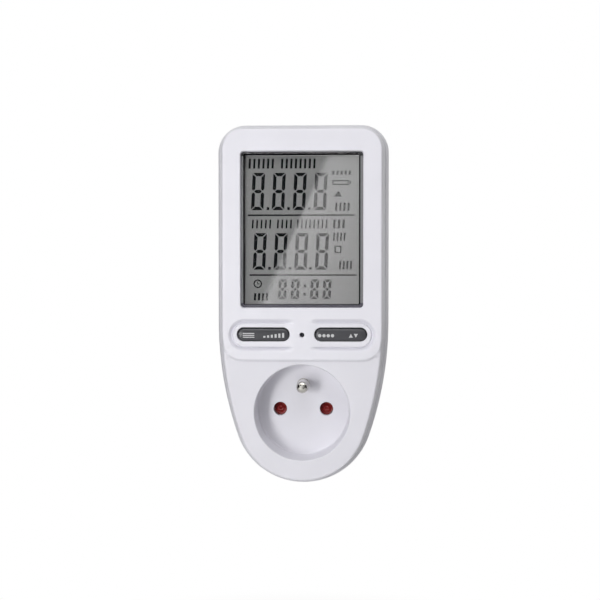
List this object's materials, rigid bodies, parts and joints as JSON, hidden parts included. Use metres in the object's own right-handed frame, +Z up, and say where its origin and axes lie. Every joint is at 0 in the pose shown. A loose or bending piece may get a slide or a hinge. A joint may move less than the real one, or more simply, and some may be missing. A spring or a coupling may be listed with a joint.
{
  "type": "plug-in energy meter",
  "caption": "Plug-in energy meter: white case with a display, two rocker keys and an earthed socket bowl in front, and a round earthed plug behind.",
  "frame": {"origin": "centre of the plug's engagement face, midway between its two live pins", "axes": "+X to the right seen from the front, +Z up, +Y out of the back of the object and into the wall"},
  "size_m": [0.0698, 0.069, 0.1467],
  "materials": {
    "case": "white moulded ABS, very fine texture, satin",
    "clear_window": "clear acrylic lens, polished",
    "black_print": "black printed film",
    "display_glass": "display glass with polariser",
    "reflector": "grey reflective film",
    "inner_plastic": "natural moulded plastic",
    "silicone": "translucent silicone",
    "board": "glass-epoxy board with green mask",
    "screw_steel": "zinc-plated steel",
    "chip_black": "black moulding compound",
    "nickel": "nickel-plated brass",
    "key_grey": "dark grey moulded key, satin",
    "carbon": "carbon-filled silicone",
    "button_dark": "dark moulded plastic",
    "battery_sleeve": "shrink sleeve",
    "capacitor_yellow": "filled plastic box",
    "capacitor_black": "sleeved can",
    "suppressor_blue": "dipped epoxy",
    "copper": "bare copper alloy",
    "brass": "stamped brass",
    "spring_steel": "spring wire",
    "shutter_red": "red moulded plastic"
  },
  "bodies": {
    "case": {"front_cover": "case", "rear_cover": "case", "socket_cup": "case", "display_window": "clear_window", "window_mask": "black_print", "lcd_front_glass": "display_glass", "lcd_rear_glass": "display_glass", "lcd_reflector": "reflector", "lcd_holder": "inner_plastic", "contact_strips": "silicone", "display_board": "board", "display_board_screws": "screw_steel", "controller_chip": "chip_black", "crystal_can": "nickel", "keypad_mat": "silicone", "reset_switch": "chip_black", "battery_cells": "battery_sleeve", "power_board": "board", "power_board_screws": "screw_steel", "dropper_capacitor": "capacitor_yellow", "smoothing_capacitor": "capacitor_black", "surge_suppressor": "suppressor_blue", "rectifier_diodes": "chip_black", "current_shunt": "copper", "board_link": "chip_black", "shutter_spring": "spring_steel", "contact_housing": "inner_plastic", "live_contact": "brass", "neutral_contact": "brass", "live_bar": "brass", "live_plug_pin": "nickel", "neutral_plug_pin": "nickel", "pin_carrier": "inner_plastic", "plug_earth_strip": "nickel", "plug_earth_sleeve": "brass", "socket_earth_pin": "nickel", "case_screws": "screw_steel"},
    "left_key": {"left_key": "key_grey", "left_key_contacts": "carbon"},
    "right_key": {"right_key": "key_grey", "right_key_contacts": "carbon"},
    "reset_button": {"reset_plunger": "button_dark"},
    "shutter": {"shutter": "shutter_red"}
  },
  "joints": [
    {"name": "left_key_rock", "type": "hinge", "parent": "case", "child": "left_key", "pos_m": [-0.01547, -0.04623, 0.0312], "axis": [0, 0, 1], "range_deg": [-4, 4], "stiffness_Nm_per_rad": 0.17},
    {"name": "right_key_rock", "type": "hinge", "parent": "case", "child": "right_key", "pos_m": [0.01547, -0.04623, 0.0312], "axis": [0, 0, 1], "range_deg": [-4, 4], "stiffness_Nm_per_rad": 0.17},
    {"name": "reset_press", "type": "slide", "parent": "case", "child": "reset_button", "axis": [0, 1, 0], "range_m": [0, 0.00025], "stiffness_N_per_m": 4000, "springref_m": -0.0001},
    {"name": "shutter_slide", "type": "slide", "parent": "case", "child": "shutter", "axis": [0, 0, -1], "range_m": [0, 0.0059], "stiffness_N_per_m": 60, "springref_m": -0.005, "deforming": ["shutter_spring"]}
  ]
}
